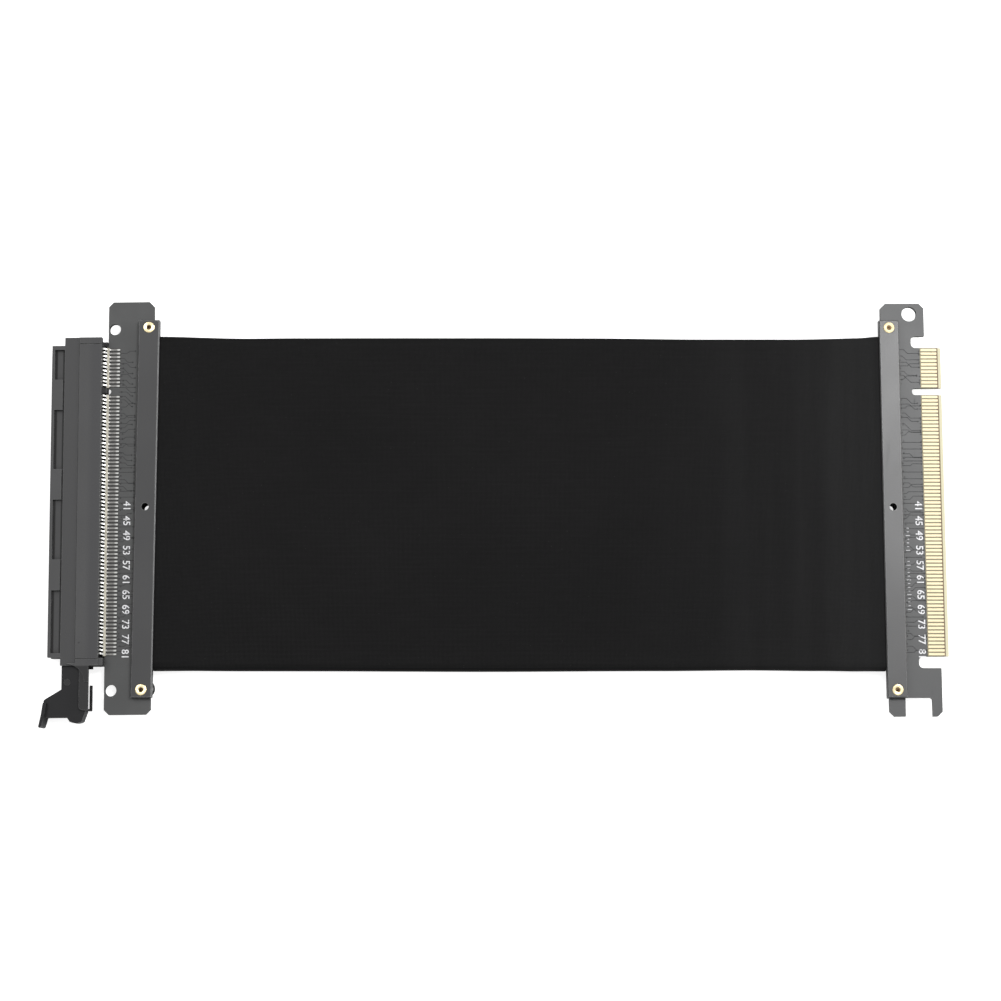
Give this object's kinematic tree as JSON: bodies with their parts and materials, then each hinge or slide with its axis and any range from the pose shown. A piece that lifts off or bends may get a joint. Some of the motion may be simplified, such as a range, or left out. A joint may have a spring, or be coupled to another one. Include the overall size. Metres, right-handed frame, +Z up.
{
  "type": "gpu riser cable",
  "caption": "Flat flexible riser cable in a black cloth sleeve, with a card-edge plug board at one end and a latched card slot on a board at the other.",
  "frame": {"origin": "centre of the bounding box's base, on the table under the middle of the cable", "axes": "+X along the cable from the slot to the plug, +Y along the contact rows towards the short group, +Z up from the table"},
  "size_m": [0.2428, 0.116, 0.0075],
  "materials": {
    "housing_plastic": "satin moulded black plastic",
    "latch_plastic": "satin moulded black plastic, darker than the housing",
    "board_laminate": "black solder mask with gold fingers and tinned tails",
    "bar_plastic": "dark satin strip with lighter edges",
    "eyelet_brass": "bright brass",
    "washer_steel": "dull plated",
    "ribbon_jacket": "dark flat ribbon",
    "sleeve_cloth": "black shielding cloth"
  },
  "bodies": {
    "cable": {"slot_housing": "housing_plastic", "slot_board": "board_laminate", "slot_front_bar": "bar_plastic", "slot_back_bar": "bar_plastic", "slot_upper_eyelet": "eyelet_brass", "slot_lower_eyelet": "eyelet_brass", "slot_washer": "washer_steel", "plug_board": "board_laminate", "plug_front_bar": "bar_plastic", "plug_back_bar": "bar_plastic", "plug_upper_eyelet": "eyelet_brass", "plug_lower_eyelet": "eyelet_brass", "front_ribbon_1": "ribbon_jacket", "front_ribbon_2": "ribbon_jacket", "front_ribbon_3": "ribbon_jacket", "front_ribbon_4": "ribbon_jacket", "back_ribbon_1": "ribbon_jacket", "back_ribbon_2": "ribbon_jacket", "back_ribbon_3": "ribbon_jacket", "back_ribbon_4": "ribbon_jacket", "cable_sleeve": "sleeve_cloth"},
    "latch": {"slot_latch": "latch_plastic"}
  },
  "joints": [
    {"name": "latch_pivot", "type": "hinge", "parent": "cable", "child": "latch", "pos_m": [-0.1142, -0.04587, 0.00375], "axis": [0, 0, 1], "range_deg": [0, 25]}
  ]
}
